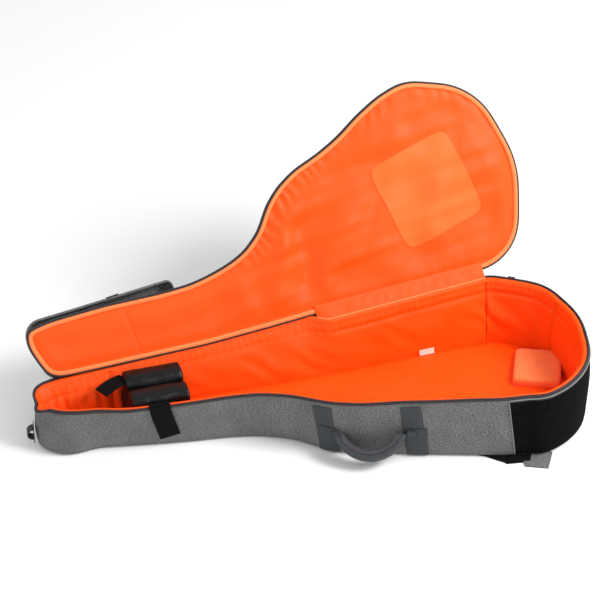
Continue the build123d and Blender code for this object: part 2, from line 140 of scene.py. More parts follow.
def rounded_loop(corners, radii, count):
    """Closed polygon with rounded corners as evenly spaced points."""
    points = []
    for i, radius in enumerate(radii):
        here = np.array(corners[i], float)
        back = unit(np.array(corners[i - 1], float) - here)
        ahead = unit(np.array(corners[(i + 1) % len(corners)], float) - here)
        half = math.acos(float(np.clip(back @ ahead, -1, 1))) / 2
        centre = here + unit(back + ahead) * (radius / math.sin(half))
        start = here + back * (radius / math.tan(half)) - centre
        end = here + ahead * (radius / math.tan(half)) - centre
        a0 = math.atan2(start[1], start[0])
        turn = (math.atan2(end[1], end[0]) - a0 + math.pi) % (2 * math.pi) - math.pi
        for t in np.linspace(0, 1, 60):
            angle = a0 + turn * t
            points.append(centre + radius * np.array([math.cos(angle), math.sin(angle)]))
    return spaced(np.array(points), count, closed=True)


def lengths(path):
    """Distance along a path at each of its points."""
    steps = np.linalg.norm(np.diff(path, axis=0), axis=1)
    return np.concatenate([[0], np.cumsum(steps)])


def sampled(goal, run, values):
    """Rows of values read off at the wanted distances."""
    return np.stack([np.interp(goal, run, values[:, k]) for k in range(values.shape[1])], -1)


def shut(loop):
    """A loop with its first point repeated at the end."""
    return np.vstack([loop, loop[:1]])


def turns(count):
    """Evenly spaced angles of one full turn."""
    return np.linspace(0, 2 * math.pi, count, endpoint=False)


def squared(value, power):
    """A sine or cosine pushed toward -1 or 1, which squares off a round section."""
    return math.copysign(abs(value) ** power, value)


def spaced(points, count, closed=False):
    """Resample a path evenly."""
    if closed:
        points = shut(points)
    run = lengths(points)
    goal = np.linspace(0, run[-1], count + 1)[:-1] if closed else np.linspace(0, run[-1], count)
    return sampled(goal, run, points)


def outward(loop):
    """Outward normals of a clockwise plan loop."""
    along = np.roll(loop, -1, axis=0) - np.roll(loop, 1, axis=0)
    return unit(np.stack([-along[:, 1], along[:, 0]], 1))


def soften(loop, times):
    """Even out a closed loop."""
    for _ in range(times):
        loop = loop * 0.5 + (np.roll(loop, 1, axis=0) + np.roll(loop, -1, axis=0)) * 0.25
    return loop


def with_near_edge(loop, edge, x_in, x_out):
    """Move the near side of a loop onto the listed edge points."""
    edge = np.array(edge, float)
    facing = smooth(0.25, 0.7, -outward(loop)[:, 1])
    weight = facing * smooth(*x_in, loop[:, 0]) * (1 - smooth(*x_out, loop[:, 0]))
    moved = loop.copy()
    target = np.interp(loop[:, 0], edge[:, 0], edge[:, 1])
    moved[:, 1] += weight * (target - loop[:, 1])
    return soften(moved, 24)


def edge_distance(points, loop):
    """Distance in plan from each point to the nearest point of a loop."""
    flat = points.reshape(-1, points.shape[-1])[:, :2]
    best = np.empty(len(flat))
    for i in range(0, len(flat), 4000):
        gap = flat[i:i + 4000, None, :] - loop[None, ::2, :]
        best[i:i + 4000] = np.sqrt((gap ** 2).sum(-1).min(1))
    return best.reshape(points.shape[:-1])


def disc(loop, first, distances, fractions):
    """Rows of points from a loop's inset edge to a line along its middle."""
    edge = loop - outward(loop) * first
    middle_x = np.interp(loop[:, 0], [-560, 560], [-505, 440])
    near = loop[outward(loop)[:, 1] < -0.1]
    near = near[np.argsort(near[:, 0])]
    far_y = far_line(middle_x)
    near_y = np.interp(middle_x, near[:, 0], near[:, 1])
    middle_y = (np.minimum(far_y, 150) + near_y) / 2
    spine = np.stack([middle_x, middle_y], 1)
    reach = np.linalg.norm(spine - edge, axis=1, keepdims=True)
    squeeze = np.minimum(1, 0.45 * reach / max(distances[-1], 1))
    rows = [edge + (spine - edge) * (d * squeeze / reach) for d in distances]
    start = rows[-1]
    rows += [start + (spine - start) * f for f in fractions]
    return np.array(rows)


# ------------------------------------------------------------------ materials
class Nodes:
    """Small helper around one material's node tree."""

    def __init__(self, name):
        self.mat = bpy.data.materials.new(name)
        self.mat.use_nodes = True
        self.tree = self.mat.node_tree
        self.shader = self.tree.nodes["Principled BSDF"]
        self.coords = self.add("ShaderNodeTexCoord")

    def add(self, kind, **values):
        node = self.tree.nodes.new(kind)
        for key, value in values.items():
            if hasattr(node, key):
                setattr(node, key, value)
            else:
                node.inputs[key.replace("_", " ")].default_value = value
        return node

    def link(self, a, b):
        self.tree.links.new(a, b)

    def noise(self, scale, detail=3.0, stretch=(1, 1, 1)):
        place = self.add("ShaderNodeMapping", Scale=stretch)
        self.link(self.coords.outputs["Object"], place.inputs["Vector"])
        node = self.add("ShaderNodeTexNoise", Scale=scale, Detail=detail)
        self.link(place.outputs["Vector"], node.inputs["Vector"])
        return node.outputs["Fac"]

    def wave(self, scale, axis, uv=True):
        node = self.add("ShaderNodeTexWave", bands_direction=axis, Scale=scale)
        self.link(self.coords.outputs["UV" if uv else "Object"], node.inputs["Vector"])
        return node.outputs["Fac"]

    def maths(self, operation, a, b):
        node = self.add("ShaderNodeMath", operation=operation)
        for k, value in enumerate((a, b)):
            if isinstance(value, (int, float)):
                node.inputs[k].default_value = value
            else:
                self.link(value, node.inputs[k])
        return node.outputs[0]

    def ramp(self, factor, stops):
        node = self.add("ShaderNodeValToRGB")
        ramp = node.color_ramp
        while len(ramp.elements) < len(stops):
            ramp.elements.new(0.5)
        for element, (place, colour) in zip(ramp.elements, stops):
            element.position = place
            element.color = (*colour, 1)
        self.link(factor, node.inputs["Fac"])
        return node.outputs["Color"]

    def weigh(self, a, part_a, b, part_b):
        return self.maths("ADD", self.maths("MULTIPLY", a, part_a), self.maths("MULTIPLY", b, part_b))

    def colour(self, factor, stops):
        self.link(self.ramp(factor, stops), self.shader.inputs["Base Color"])

    def rough(self, factor, smoothest, roughest, places=(0.3, 0.8)):
        stops = [(places[0], (smoothest,) * 3), (places[1], (roughest,) * 3)]
        self.link(self.ramp(factor, stops), self.shader.inputs["Roughness"])

    def values(self, **values):
        for key, value in values.items():
            self.shader.inputs[key.replace("_", " ")].default_value = value

    def bump(self, height, strength, distance):
        node = self.add("ShaderNodeBump", Strength=strength, Distance=distance)
        self.link(height, node.inputs["Height"])
        self.link(node.outputs["Normal"], self.shader.inputs["Normal"])


def shade(colour, k):
    """Colour made lighter or darker."""
    return tuple(min(1.0, c * k) for c in colour)


def bands(pitch):
    """Wave texture scale that repeats at this pitch in metres."""
    return 0.5 / pitch / 3.1416


def cloth_material(name, colour, rough=0.7, thread=0.0011, relief=0.00025, spread=0.12,
                   sheen=0.0, uv=True, mottle=None, crumple=0.0, specular=0.4):
    """Woven cloth: crossing threads, colour that varies a little, and fine creases."""
    n = Nodes(name)
    mottle_scale, mottle_detail = mottle or (45, 4.0)
    patchy = n.noise(mottle_scale, mottle_detail, (1, 1, 1.6))
    fine = n.noise(520, 2.0)
    n.colour(n.weigh(patchy, 0.7, fine, 0.3),
             [(0.3, shade(colour, 1 - spread)), (0.7, shade(colour, 1 + spread))])
    if uv:
        threads = n.maths("ADD", n.wave(bands(thread), "X"), n.wave(bands(thread), "Y"))
    else:
        threads = n.noise(1.0 / thread, 1.0)
    n.bump(n.weigh(threads, relief * 1000, n.noise(28, 5.0), crumple * 1000), 0.6, 0.001)
    n.rough(patchy, rough - 0.06, min(1, rough + 0.06), (0.2, 0.8))
    n.values(Sheen_Weight=sheen, Sheen_Roughness=0.45, Specular_IOR_Level=specular)
    return n.mat


def heather_material(name, uv=True):
    """Grey heather: short light and dark yarns lying along the weave."""
    n = Nodes(name)
    place = n.add("ShaderNodeMapping", Scale=(0.55, 1.0, 1.0))
    n.link(n.coords.outputs["UV" if uv else "Object"], place.inputs["Vector"])
    yarn = n.add("ShaderNodeTexNoise", Scale=430, Detail=3.0, Roughness=0.65)
    fleck = n.add("ShaderNodeTexNoise", Scale=1250, Detail=2.0)
    for node in (yarn, fleck):
        n.link(place.outputs["Vector"], node.inputs["Vector"])
    mixed = n.weigh(yarn.outputs["Fac"], 0.62, fleck.outputs["Fac"], 0.38)
    mixed = n.maths("ADD", mixed, n.maths("MULTIPLY", n.maths("SUBTRACT", n.noise(22), 0.5), 0.10))
    n.colour(mixed, [(0.36, (0.045, 0.046, 0.045)), (0.47, (0.116, 0.117, 0.114)),
                     (0.55, (0.163, 0.164, 0.160)), (0.66, (0.29, 0.29, 0.28))])
    threads = n.maths("ADD", n.wave(150, "X", uv), n.wave(150, "Y", uv))
    height = n.maths("ADD", n.maths("MULTIPLY", threads, 0.18), fleck.outputs["Fac"])
    n.bump(height, 0.45, 0.0007)
    n.values(Roughness=0.9, Specular_IOR_Level=0.25)
    return n.mat


def webbing_material(name, colour, uv=True, rib=0.0022, rough=0.62):
    """Flat woven tape with ribs across it."""
    n = Nodes(name)
    ribs = n.wave(bands(rib), "Y" if uv else "Z", uv)
    cords = n.wave(bands(rib) * 0.6, "X", uv)
    weave = n.maths("ADD", ribs, n.maths("MULTIPLY", cords, 0.6))
    n.colour(n.weigh(weave, 0.3, n.noise(160, 4.0), 0.6),
             [(0.25, shade(colour, 0.78)), (0.85, shade(colour, 1.25))])
    n.bump(weave, 0.5, 0.0006)
    n.values(Roughness=rough, Specular_IOR_Level=0.12)
    return n.mat


def mesh_material(name, colour):
    """Spacer mesh: small round holes in rows, with painted shade in the holes and a painted highlight on
    the rims between them.
    """
    n = Nodes(name)
    cells = n.add("ShaderNodeTexVoronoi", Scale=330, Randomness=0.25)
    n.link(n.coords.outputs["UV"], cells.inputs["Vector"])
    hole = cells.outputs["Distance"]
    # Painted shade: the hole centres are darkened to a fifth of the colour. Painted highlight: the rims
    # between the holes are lightened.
    n.colour(hole, [(0.12, shade(colour, 0.18)), (0.42, colour), (0.7, shade(colour, 1.7))])
    n.bump(hole, 0.9, 0.0015)
    n.values(Roughness=0.75)
    return n.mat


def vinyl_material(name):
    """Soft black vinyl with a fine grain and soft folds, with painted shade in the fold hollows."""
    n = Nodes(name)
    grain = n.noise(700, 3.0)
    folds = n.noise(60, 4.0)
    # Painted shade: the colour follows the fold noise that also makes the bump, darker in the hollows and
    # a little lighter on the crests.
    n.colour(folds, [(0.3, (0.0022, 0.0022, 0.0025)), (0.75, (0.006, 0.006, 0.0065))])
    n.bump(n.weigh(grain, 0.25, folds, 1.3), 0.55, 0.0022)
    n.rough(grain, 0.26, 0.4)
    n.values(Specular_IOR_Level=0.26)
    return n.mat


def metal_material(name, colour, rough=0.34):
    """Enamelled zinc with rubbed edges."""
    n = Nodes(name)
    worn = n.noise(240, 5.0)
    n.colour(worn, [(0.55, colour), (0.8, shade(colour, 3.2))])
    n.rough(worn, rough, rough + 0.2)
    n.bump(worn, 0.2, 0.0003)
    n.values(Metallic=0.1)
    return n.mat


ORANGE = (0.96, 0.084, 0.002)
BLACK = (0.0030, 0.0030, 0.0034)
GREY = (0.052, 0.056, 0.060)
M = {
    "heather_cloth": heather_material("heather_cloth_uv"),
    "heather_plain": heather_material("heather_cloth_plain", uv=False),
    "lining": cloth_material("lining_uv", ORANGE, 0.5, 0.0009, 0.0001, 0.05, 0.0,
                             mottle=(9, 2.0), crumple=0.0012, specular=0.22),
    "lining_patch": cloth_material("lining_patch_uv", (0.97, 0.128, 0.006), 0.6, 0.0012, 0.00016,
                                   0.03, 0.2, mottle=(12, 2.0), crumple=0.0003),
    "lining_binding": cloth_material("lining_binding_uv", (1.0, 0.225, 0.055), 0.55, 0.0013,
                                     0.0003, 0.07, 0.3),
    "zip_tape": webbing_material("zip_tape_uv", (0.045, 0.037, 0.040), rib=0.0009),
    "zip_chain": cloth_material("zip_teeth", (0.05, 0.043, 0.046), 0.38, uv=False, spread=0.3),
    "bumper_cloth": cloth_material("bumper_cloth_uv", (0.0045, 0.0045, 0.0055), 0.9, 0.0016,
                                   0.0005, 0.35, 0.0, specular=0.03),
    "piping": cloth_material("piping_uv", (0.20, 0.20, 0.20), 0.8, 0.0014, 0.0002, 0.2),
    "cradle_vinyl": vinyl_material("cradle_vinyl_uv"),
    "black_webbing": webbing_material("black_webbing_uv", BLACK, rough=0.9),
    "black_plain": webbing_material("black_webbing_plain", BLACK, uv=False, rough=0.85),
    "strap_cloth": cloth_material("strap_cloth_plain", (0.015, 0.015, 0.016), 0.85, uv=False,
                                  spread=0.3),
    "grey_webbing": webbing_material("grey_webbing_uv", GREY),
    "grey_plain": webbing_material("grey_webbing_plain", GREY, uv=False),
    "spacer_mesh": mesh_material("spacer_mesh_uv", (0.052, 0.047, 0.056)),
    "label_cloth": cloth_material("label_cloth_uv", (0.85, 0.66, 0.56), 0.5, 0.0008, 0.0001, 0.06),
    "slider_metal": metal_material("slider_metal_plain", (0.022, 0.021, 0.023)),
    "thread_grey": cloth_material("thread_grey", (0.11, 0.112, 0.118), 0.7, uv=False),
    "thread_orange": cloth_material("thread_orange", (0.80, 0.075, 0.006), 0.6, uv=False),
}


# ------------------------------------------------------------------ meshes
def in_scene(name, data):
    """An object with this data, linked to the scene."""
    thing = bpy.data.objects.new(name, data)
    bpy.context.scene.collection.objects.link(thing)
    return thing


def add_mesh(name, points, faces, material, body, corner_uv=None, slot=None, replaces=()):
    """One smooth mesh from millimetre points, on its body; the slot argument is not used."""
    mesh = bpy.data.meshes.new(name)
    mesh.from_pydata((np.asarray(points) * MM).tolist(), [], np.asarray(faces).tolist())
    mesh.polygons.foreach_set("use_smooth", [True] * len(mesh.polygons))
    if corner_uv is not None:
        layer = mesh.uv_layers.new(name="cloth")
        layer.data.foreach_set("uv", np.asarray(corner_uv, float).reshape(-1))
    mesh.materials.append(M[material])
    mesh.update()
    piece = in_scene(name, mesh)
    if body:
        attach(piece, body)
    if replaces:
        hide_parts(*replaces)
    return piece


def grid(name, points, material, body, wrap=False, flip=False, slot=None, replaces=()):
    """Surface through rows of points; its UV is real length along the cloth, in metres."""
    points = np.asarray(points, float)
    rows, cols = points.shape[:2]
    index = np.arange(rows * cols).reshape(rows, cols)
    left = index if wrap else index[:, :-1]
    right = np.roll(index, -1, axis=1) if wrap else index[:, 1:]
    faces = np.stack([left[:-1], right[:-1], right[1:], left[1:]], -1)
    u = lengths(shut(points[rows // 2])) * MM
    down = np.linalg.norm(np.diff(points, axis=0), axis=2).mean(axis=1)
    v = np.concatenate([[0], np.cumsum(down)]) * MM
    width = faces.shape[1]
    ua, ub = np.meshgrid(u[:width], v[:-1])
    uc, ud = np.meshgrid(u[1:width + 1], v[1:])
    corners = (ua, ub), (uc, ub), (uc, ud), (ua, ud)
    uv = np.stack([np.stack(corner, -1) for corner in corners], 2)
    faces = faces.reshape(-1, 4)
    uv = uv.reshape(-1, 4, 2)
    if flip:
        faces = faces[:, ::-1]
        uv = uv[:, ::-1]
    return add_mesh(name, points.reshape(-1, 3), faces, material, body, uv, slot, replaces)


def capped(rows):
    """Rows of a tube closed at both ends by their middle points."""
    first, last = (np.repeat(r.mean(axis=1, keepdims=True), rows.shape[1], axis=1)
                   for r in (rows[:1], rows[-1:]))
    return np.concatenate([first, rows, last])


def tube(name, path, radius, material, body, **more):
    """Round cord or piping along a path."""
    along = unit(np.gradient(path, axis=0))
    side = unit(np.cross(along, np.array([0.03, 0.05, 1.0])))
    top = np.cross(side, along)
    ring = [path + (side * math.cos(a) + top * math.sin(a)) * radius for a in turns(8)]
    return grid(name, ring + ring[:1], material, body, **more)


def blocks(name, centres, along, across, upward, size, material, body, **more):
    """Many small bevelled blocks in one mesh, such as zip teeth or stitches."""
    half = np.asarray(size, float) / 2
    corners = []
    for sz, k in ((-1, 1), (1, 0.6)):
        for sx, sy in ((-1, -1), (1, -1), (1, 1), (-1, 1)):
            corners.append(centres + along * (sx * half[0] * k) + across * (sy * half[1] * k)
                           + upward * (sz * half[2]))
    points = np.stack(corners, 1).reshape(-1, 3)
    sides = np.array([[0, 1, 5, 4], [1, 2, 6, 5], [2, 3, 7, 6], [3, 0, 4, 7], [4, 5, 6, 7],
                      [3, 2, 1, 0]])
    faces = (sides[None] + 8 * np.arange(len(centres))[:, None, None]).reshape(-1, 4)
    return add_mesh(name, points, faces, material, body, **more)


def zip_teeth(name, path, normal, pitch, size, material, body, **more):
    """One row of zip teeth along a path; the normal may differ from point to point."""
    run = lengths(path)
    goal = np.arange(pitch, run[-1] - pitch, pitch)
    spots = sampled(goal, run, path)
    up = unit(sampled(goal, run, np.broadcast_to(normal, path.shape)))
    along = unit(np.gradient(spots, axis=0))
    return blocks(name, spots, along, np.cross(up, along), up, size, material, body, **more)


def stitches(name, path, normal, material, body, pitch=4.2, length=2.8, width=0.8, **more):
    """A line of sewn stitches lying on a surface."""
    return zip_teeth(name, path, normal, pitch, (length, width, 0.6), material, body, **more)


# ------------------------------------------------------------------ tray: outline and walls
tray_loop = with_near_edge(rounded_loop(TRAY_CORNERS, TRAY_RADII, COLUMNS), TRAY_NEAR,
                           (-470, -420), (400, 436))
tray_out = outward(tray_loop)
tray_run = lengths(shut(tray_loop))[:-1]
far_facing = smooth(0.4, 0.9, tray_out[:, 1])
flop = smooth(0.3, 0.9, tray_out[:, 1]) * (1 - smooth(2, 62, tray_loop[:, 0]))
nip = smooth(0.1, 0.8, -tray_out[:, 1]) * (1 - smooth(-520, -360, tray_loop[:, 0]))
tray_rim = rim_height(tray_loop[:, 0]) + FLOP_UP * flop + NIP_UP * nip
near_facing = smooth(0.4, 0.9, -tray_out[:, 1])


def tray_ring(inset, height):
    """One closed row of points round the tray; inset and height may vary along it."""
    share = np.clip(np.broadcast_to(height, (COLUMNS,)) / tray_rim, 0, 1) ** 1.6
    inset = np.broadcast_to(inset, (COLUMNS,)) + (NIP_IN * nip - FLOP_OUT * flop) * share
    return lifted(tray_loop - tray_out * inset[:, None], height)


WAIST_IN = 6.0               # the foot of the near wall is drawn in at the waist
waist = near_facing * smooth(-500, -430, tray_loop[:, 0]) * (1 - smooth(-60, 30, tray_loop[:, 0]))
wall_rows = [tray_ring(i, z) for i, z in ((13, 0.3), (8.5, 0.5), (5, 2.0), (2.4, 5.0), (0.9, 9.0))]
for t in np.linspace(0, 1, 22):
    height = 14 + t * (tray_rim - 3 - 14)
    swell = 2.2 * math.sin(math.pi * t)
    swell += 1.1 * math.sin(math.pi * min(1, t * 1.02)) * ripple(tray_ring(0, height), 95, 3)
    wall_rows.append(tray_ring(WAIST_IN * waist * (1 - t) - swell, height))
wall_rows = np.array(wall_rows)
wall_rows[:5, :, :2] -= tray_out * (WAIST_IN * waist)[:, None]
grid("tray_cloth", wall_rows, "heather_cloth", "tray", wrap=True,
     replaces=("side_wall_shell", "side_wall_padding", "back_padding"))


def near_column(x, far=False):
    """Fractional column of the near (or far) side at x."""
    side = np.where((tray_out[:, 1] > 0.3) if far else (tray_out[:, 1] < -0.3))[0]
    order = side[np.argsort(tray_loop[side, 0])]
    return np.interp(x, tray_loop[order, 0], order.astype(float))


def on_wall(column, height, off):
    """Points lying on the tray's outside wall at fractional columns and heights."""
    column = np.asarray(column, float) % COLUMNS
    low = np.floor(column).astype(int) % COLUMNS
    high = (low + 1) % COLUMNS
    mix = (column - np.floor(column))[..., None]
    strip = wall_rows[:, low] * (1 - mix) + wall_rows[:, high] * mix
    out = tray_out[low] * (1 - mix) + tray_out[high] * mix
    result = np.empty(column.shape + (3,))
    for place in np.ndindex(column.shape):
        profile = strip[(slice(None),) + place]
        z = float(np.broadcast_to(height, column.shape)[place])
        result[place] = sampled(z, profile[:, 2], profile)
        result[place][:2] += out[place] * off
    return result


# Underside: one cloth panel that is pressed in where the stowed straps lie.
STRAP_LINES = [
    (31, [(-118, -8), (0, -62), (170, -92)]), (31, [(-118, 62), (40, 90), (180, 100)]),
    (16, [(170, -92), (330, -170), (372, -199)]), (16, [(180, 100), (330, 148), (372, 166)]),
]
under = disc(tray_loop - tray_out * (WAIST_IN * waist)[:, None], 12.6, [0, 6, 14, 24, 36],
             np.linspace(0.08, 1, 22))
lift = np.zeros(under.shape[:2])
for half_width, line in STRAP_LINES:
    dense = spaced(np.array(line, float), 60)
    lift = np.maximum(lift, 1 - smooth(half_width, half_width + 12, edge_distance(under, dense)))
grid("tray_underside", lifted(under, 0.35 + 7.4 * lift), "heather_cloth", "tray", wrap=True, flip=True,
     replaces=("back_panel_shell",))

# ------------------------------------------------------------------ tray: lining
far_points = np.array(FAR_LEAN, float)
lean_in = far_facing * np.interp(tray_loop[:, 0], far_points[:, 0], far_points[:, 1])
lean_in = soften(lean_in + 5 * smooth(430, 500, tray_loop[:, 0]) + 3, 30)
neck_end = 1 - smooth(-430, -330, tray_loop[:, 0])
wide_end = smooth(380, 430, tray_loop[:, 0])
hinge_side = far_facing * smooth(40, 80, tray_loop[:, 0]) * (1 - smooth(378, 392, tray_loop[:, 0]))
seam_columns = (near_column(392, far=True), np.argmin(np.hypot(*(tray_loop - (531, 100)).T)),
                near_column(-398, far=True))


def seam_pull(width):
    """How strongly the lining is drawn in at its vertical seams."""
    pull = np.zeros(COLUMNS)
    for column in seam_columns:
        pull = np.maximum(pull, bump_at(tray_run, np.interp(column, range(COLUMNS), tray_run), width))
    return pull


lining_rows = []
for inset, drop in ((4.4, 3.0), (5.2, 1.6), (7.5, 0.4), (10.5, 0.9), (13.5, 3.2), (15.3, 6.8)):
    lining_rows.append(tray_ring(inset + 0.5 * ripple(tray_ring(0, tray_rim), 40, 5), tray_rim - drop))
for t in np.linspace(0, 1, 34):
    height = (tray_rim - 10) + (13.0 - tray_rim + 10) * t
    ring = tray_ring(0, height)
    depth = tray_rim - height
    belly = math.sin(math.pi * t)
    puff = 4.5 * belly ** 0.7 + 2.2 * belly * ripple(ring, 78, 11)
    gathers = np.sin(tray_run * 2 * math.pi / 24 + 1.5 * ripple(ring, 60, 12))
    puff += 2.6 * neck_end * belly * gathers
    slant = np.sin((tray_run * 0.72 + height * 1.1) * 2 * math.pi / 58 + 1.8 * ripple(ring, 120, 13))
    puff += 2.3 * far_facing * (1 - neck_end) * belly * slant * (0.4 + 0.6 * ripple(ring, 150, 14))
    small = np.sin(tray_run * 2 * math.pi / 15 + 2 * ripple(ring, 45, 15))
    puff += 0.8 * small * np.exp(-((depth - 16) / 12) ** 2) * (0.5 + 0.5 * far_facing)
    band = (0.35 + 0.65 * np.maximum(wide_end, hinge_side)) * bump_at(depth, 27, 3.4)
    puff = puff - 3.4 * band - 8.0 * seam_pull(3.2) * (0.6 + 0.4 * belly)
    lining_rows.append(tray_ring(15.8 + lean_in * t + puff, height))
lining_rows = np.array(lining_rows)
grid("tray_wall_lining", lining_rows, "lining", "tray", wrap=True, flip=True,
     replaces=("side_wall_lining",))

floor_edge = tray_loop - tray_out * (13.5 + lean_in)[:, None]
floor_plan = disc(floor_edge, 0, [0, 2, 4, 7, 11, 16, 23, 32], np.linspace(0.06, 1, 26))
floor_gap = edge_distance(floor_plan, floor_edge)
floor_z = 13.2 + 4.2 * smooth(0, 16, floor_gap) + 1.3 * smooth(6, 60, floor_gap)
floor_flat = lifted(floor_plan)
floor_z += smooth(4, 30, floor_gap) * (1.5 * ripple(floor_flat, 120, 21, (0.8, 1.3, 1))
                                        + 0.5 * ripple(floor_flat, 42, 22))
grid("tray_floor_lining", lifted(floor_plan, floor_z), "lining", "tray", wrap=True,
     replaces=("floor_lining",))

# ------------------------------------------------------------------ tray: zip and bumper
hinge_from, hinge_to = (int(round(near_column(x, far=True))) for x in HINGE_SPAN)
zip_columns = np.roll(np.arange(COLUMNS), -hinge_to)[:(hinge_from - hinge_to) % COLUMNS + 1]
tape = np.array([tray_ring(i, tray_rim - d)[zip_columns] for i, d in
                 ((-0.6, 4.6), (-1.3, 3.9), (-1.4, 2.8), (-1.1, 1.2), (-0.3, 0.5), (1.6, 0.3),
                  (4.9, 0.8), (5.0, 3.0))])
grid("tray_zip_tape_cloth", tape, "zip_tape", "tray", replaces=("tray_zip_tape",))
zip_teeth("tray_zip_teeth", tray_ring(1.7, tray_rim + 0.9)[zip_columns], unit(np.array([-RIM_RISE, 0, 1])),
          2.6, (1.5, 3.6, 1.6), "zip_chain", "tray", replaces=("tray_zip_chain",))

bump_top = near_column(363)
bump_low = near_column(382)
far_end = near_column(380, far=True)
sweep = (bump_top - far_end) % COLUMNS
bumper = []
for v in np.linspace(0, 1, 20):
    last = far_end + sweep + (bump_low - bump_top) * v
    columns = np.linspace(far_end, last, 230)
    rim_here = np.interp(columns % COLUMNS, range(COLUMNS), tray_rim)
    height = (rim_here - 7.5) * (1 - v) + 1.2 * v
    bumper.append(on_wall(columns, height, 1.3))
bumper = np.array(bumper)
grid("end_bumper_cloth", bumper, "bumper_cloth", "tray", replaces=("end_bumper",))
for edge, path, radius in (("top", bumper[0] + UP, 1.5),
                           ("side", bumper[:, -1], 1.1), ("far", bumper[:, 0], 1.1)):
    tube(f"bumper_piping_{edge}", path, radius, "piping", "tray", slot="heather_cloth")
bumper_in = unit(np.cross(np.gradient(bumper, axis=0), np.gradient(bumper, axis=1)))
stitches("bumper_stitches", bumper[1] * 0.4 + bumper[0] * 0.6, bumper_in[0], "thread_grey", "tray",
         slot="heather_cloth")

# ------------------------------------------------------------------ lid
joint = next(j for j in frame["record"]["behaviour"]["joints"] if j["name"] == "lid_hinge")
HINGE_AT = Vector([c / MM for c in joint["pos_m"]])
HINGE_AXIS = Vector(joint["axis"]).normalized()
rim_x = Vector((1, 0, RIM_RISE)).normalized()
rim_z = Vector((-RIM_RISE, 0, 1)).normalized()
rim_y = rim_z.cross(rim_x)
closed = Matrix((
    (rim_x.x, rim_y.x, rim_z.x, 0), (rim_x.y, rim_y.y, rim_z.y, 0),
    (rim_x.z, rim_y.z, rim_z.z, RIM_MID), (0, 0, 0, 1),
))
swing = (Matrix.Translation(HINGE_AT) @ Matrix.Rotation(math.radians(LID_OPEN), 4, HINGE_AXIS)
         @ Matrix.Translation(-HINGE_AT))
LID = np.array(swing @ closed)


def opened(points):
    """Points given on the closed lid (x, y, height above the rim), moved to the open lid."""
    points = np.asarray(points, float)
    return points @ LID[:3, :3].T + LID[:3, 3]


lid_loop = rounded_loop(LID_CORNERS, LID_RADII, COLUMNS)
lid_loop = lid_loop - outward(lid_loop) * 1.5
droop_edge = smooth(0.1, 0.8, outward(lid_loop)[:, 1])
droop_size = np.interp(lid_loop[:, 0], [-520, -380, -200, -60, 30, 90], [-9, -3, 4, 3, 1, 0])
lid_loop = soften(lid_loop + outward(lid_loop) * (droop_size * droop_edge)[:, None], 10)
lid_loop = with_near_edge(lid_loop, LID_NEAR, (-545, -520), (400, 470))
lid_out = outward(lid_loop)
lid_from, lid_to = (int(np.argmin(np.hypot(*(lid_loop - (x, far_line(x))).T))) for x in HINGE_SPAN)
lid_columns = np.roll(np.arange(COLUMNS), -lid_to)[:(lid_from - lid_to) % COLUMNS + 1]


def lid_rings(*places):
    """Closed rows round the open lid, each at an inset from its edge and a height."""
    return opened(np.array([lifted(lid_loop - lid_out * inset, height) for inset, height in places]))


def lid_face_height(plan):
    """Height of the quilted inner face over plan points of the closed lid."""
    gap = edge_distance(plan, lid_loop)
    p = lifted(plan)
    x, y = plan[..., 0], plan[..., 1]
    height = 5.4 - 3.2 * smooth(12, 34, gap)
    inside = smooth(16, 70, gap)
    height -= inside * (6.5 * ripple(p, 160, 31, (1.0, 0.75, 1)) + 0.6)
    height -= 2.6 * inside * ripple(p, 70, 32, (0.7, 1.25, 1)) * smooth(-330, -200, x)
    drape = np.sin((x * 0.80 + y * 0.35) * 2 * math.pi / 92 + 1.6 * ripple(p, 210, 33))
    height -= 6.5 * drape * inside * bump_at(x, 60, 170) * smooth(-140, 0, y)
    pleat = np.sin((x * 0.93 - y * 0.25) * 2 * math.pi / 21 + 1.7 * ripple(p, 70, 34))
    near_edge = np.exp(-((gap - 20) / 17) ** 2)
    height -= 2.3 * pleat * near_edge * bump_at(x, 45, 130) * smooth(40, -40, y)
    tucks = np.sin((x + 0.3 * y) * 2 * math.pi / 34 + 2.0 * ripple(p, 90, 35))
    height -= 0.7 * tucks * near_edge * smooth(150, 300, x)
    seam = bump_at(x + 0.05 * y, -323, 2.6) * smooth(10, 18, gap)
    return height + 1.8 * seam


face_plan = disc(lid_loop, 12.5, [0, 1.5, 3, 5, 8, 12, 17, 23, 30, 38], np.linspace(0.05, 1, 40))
face = lifted(face_plan, lid_face_height(face_plan))
face[0, :, 2] = 3.6
face[1, :, 2] = 5.0
grid("lid_face_lining", opened(face), "lining", "lid", wrap=True, flip=True,
     replaces=("lid_lining",))

binding = lid_rings((3.8, 4.4), (3.8, 2.9), (4.8, 1.9), (7.0, 1.5), (9.4, 1.6), (11.4, 2.4), (12.8, 4.2))
grid("lid_edge_binding", binding, "lining_binding", "lid", wrap=True,
     replaces=("lid_binding",))

lid_tape = lid_rings((5.0, 4.2), (4.6, 3.1), (2.4, 2.6), (1.1, 2.9), (0.2, 4.2), (0.0, 8.5), (0.4, 9.5))
grid("lid_zip_tape_cloth", lid_tape[:, lid_columns], "zip_tape", "lid", replaces=("lid_zip_tape",))
lid_down = -LID[:3, 2]
zip_teeth("lid_zip_teeth", lid_rings((2.6, 2.2))[0, lid_columns], lid_down, 2.6, (1.5, 3.4, 1.6),
          "zip_chain", "lid", replaces=("lid_zip_chain",))

